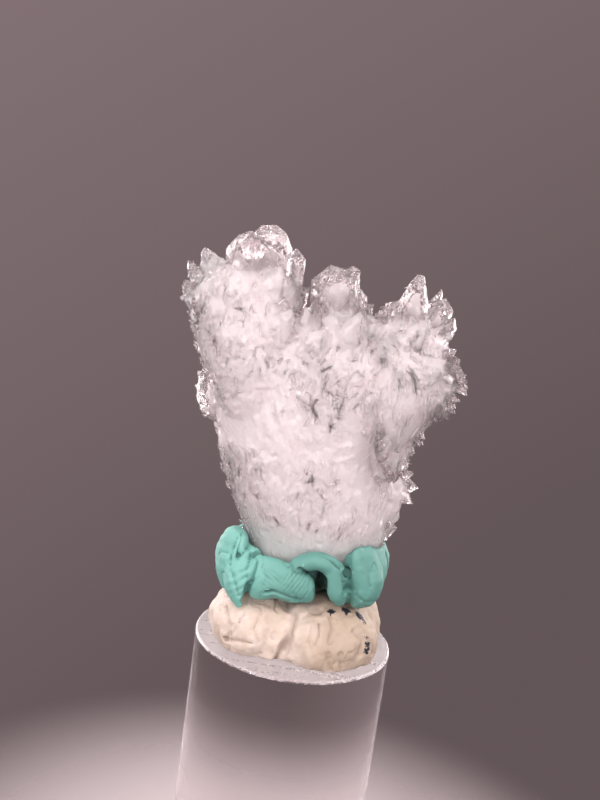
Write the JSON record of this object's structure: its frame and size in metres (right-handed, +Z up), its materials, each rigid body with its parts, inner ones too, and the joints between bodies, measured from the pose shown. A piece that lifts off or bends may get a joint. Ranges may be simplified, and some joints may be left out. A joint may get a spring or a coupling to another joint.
{
  "type": "mounted mineral specimen",
  "caption": "Colourless creedite crystal group with upright arms, bedded in teal and white mounting putty on a clear acrylic rod for display.",
  "frame": {"origin": "centre of the acrylic rod's flat foot", "axes": "+Z up along the rod, +X to the viewer's right in the picture, -Y towards the viewer"},
  "size_m": [0.0358, 0.025, 0.0917],
  "materials": {
    "creedite": "colourless to milky natural crystal faces, glassy",
    "teal_putty": "soft kneaded putty with finger marks, dull",
    "white_putty": "soft kneaded putty, creased and slightly soiled, dull",
    "acrylic": "clear, polished side, sawn and sanded top with small chips at the rim"
  },
  "bodies": {
    "root": {"creedite_crystals": "creedite", "teal_putty": "teal_putty", "white_putty": "white_putty", "acrylic_rod": "acrylic"}
  },
  "joints": []
}
